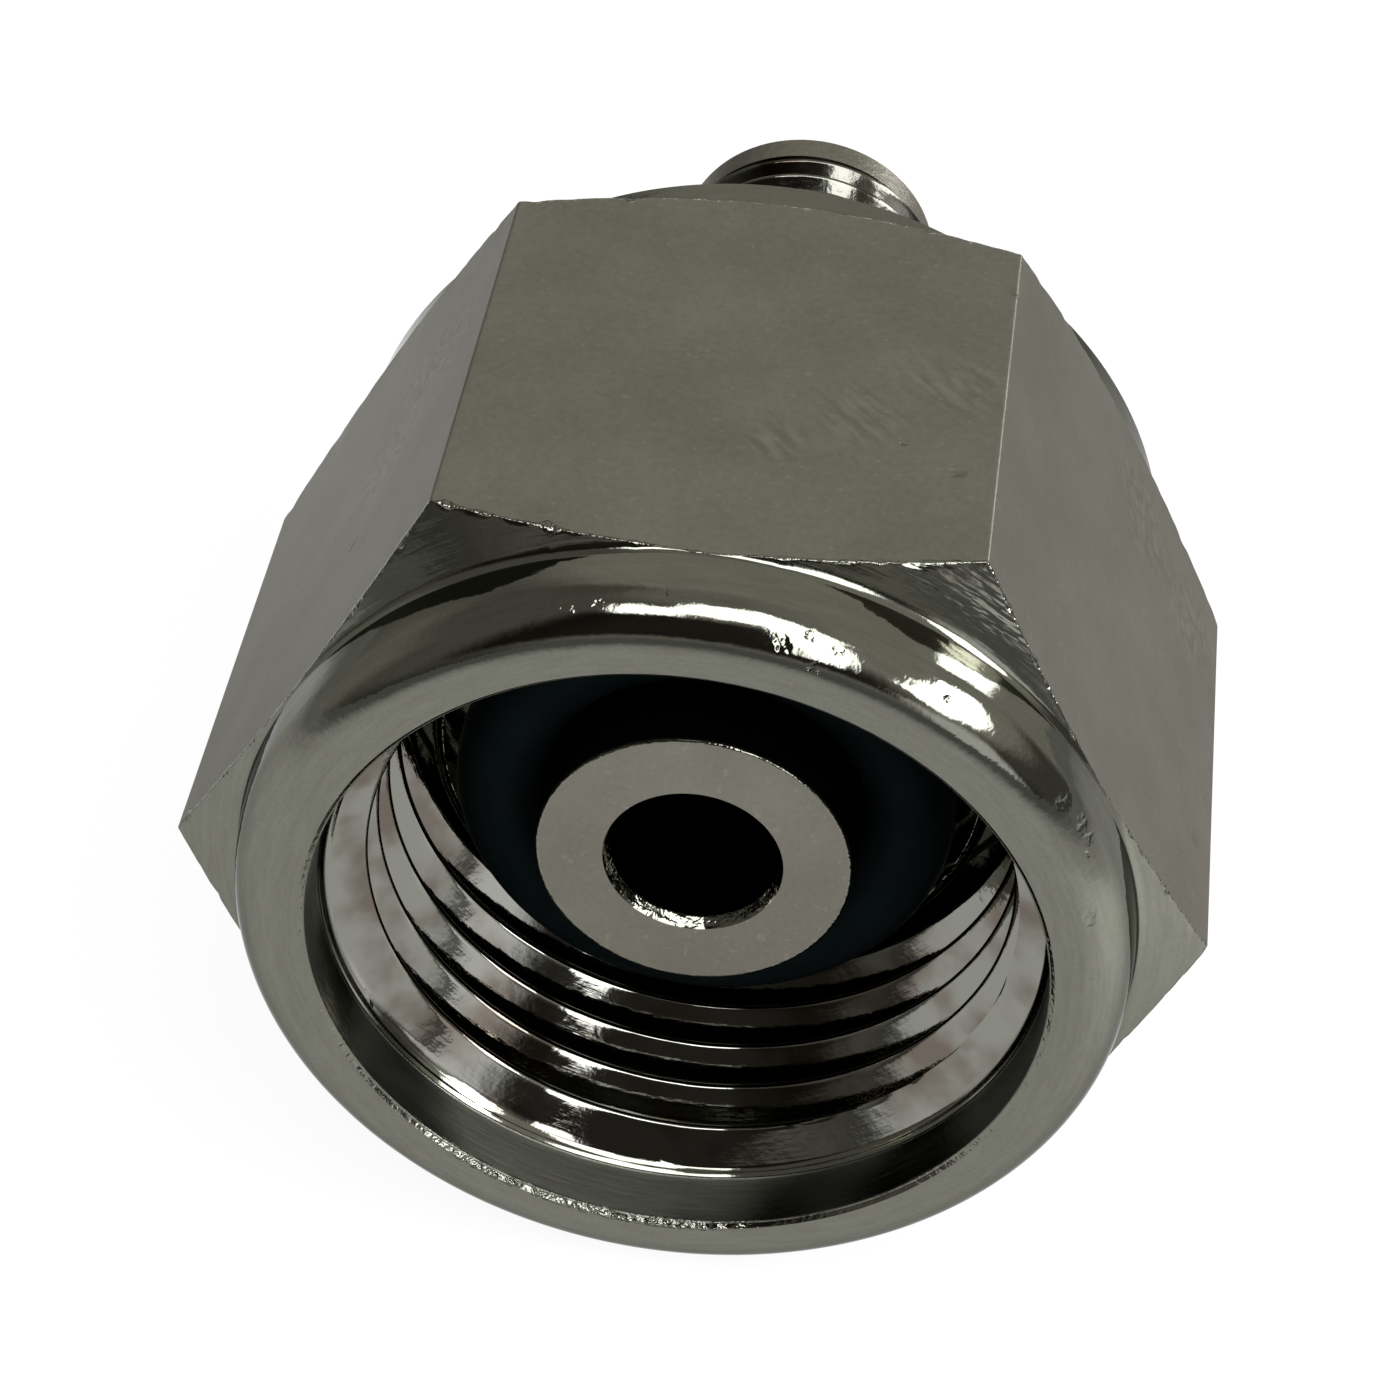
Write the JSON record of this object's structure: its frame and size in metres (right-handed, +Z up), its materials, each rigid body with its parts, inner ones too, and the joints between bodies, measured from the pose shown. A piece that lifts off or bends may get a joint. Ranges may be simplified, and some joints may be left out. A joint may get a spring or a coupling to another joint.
{
  "type": "gas regulator adapter",
  "caption": "Union nut with a female gas cylinder thread that swivels on a nipple with a flat nose, a seal ring and a male threaded tail.",
  "frame": {"origin": "centre of the nut's mouth, on the common axis, in the plane of the mouth's face", "axes": "+Y along the axis from the mouth towards the threaded tail, +Z up, square to the flat that the nut lies on, +X towards a corner of the hexagon"},
  "size_m": [0.0312, 0.0388, 0.027],
  "materials": {
    "plated_nut": "nickel-plated brass, satin flats and glossy turned surfaces",
    "plated_nipple": "nickel-plated brass, satin end face and glossy thread",
    "seal_rubber": "black nitrile rubber with a soft sheen"
  },
  "bodies": {
    "nut": {"union_nut": "plated_nut"},
    "stem": {"nipple": "plated_nipple", "seal_ring": "seal_rubber"}
  },
  "joints": [
    {"name": "nut_swivel", "type": "hinge", "parent": "nut", "child": "stem", "pos_m": [0, 0.018, 0], "axis": [0, 1, 0], "continuous": true}
  ]
}
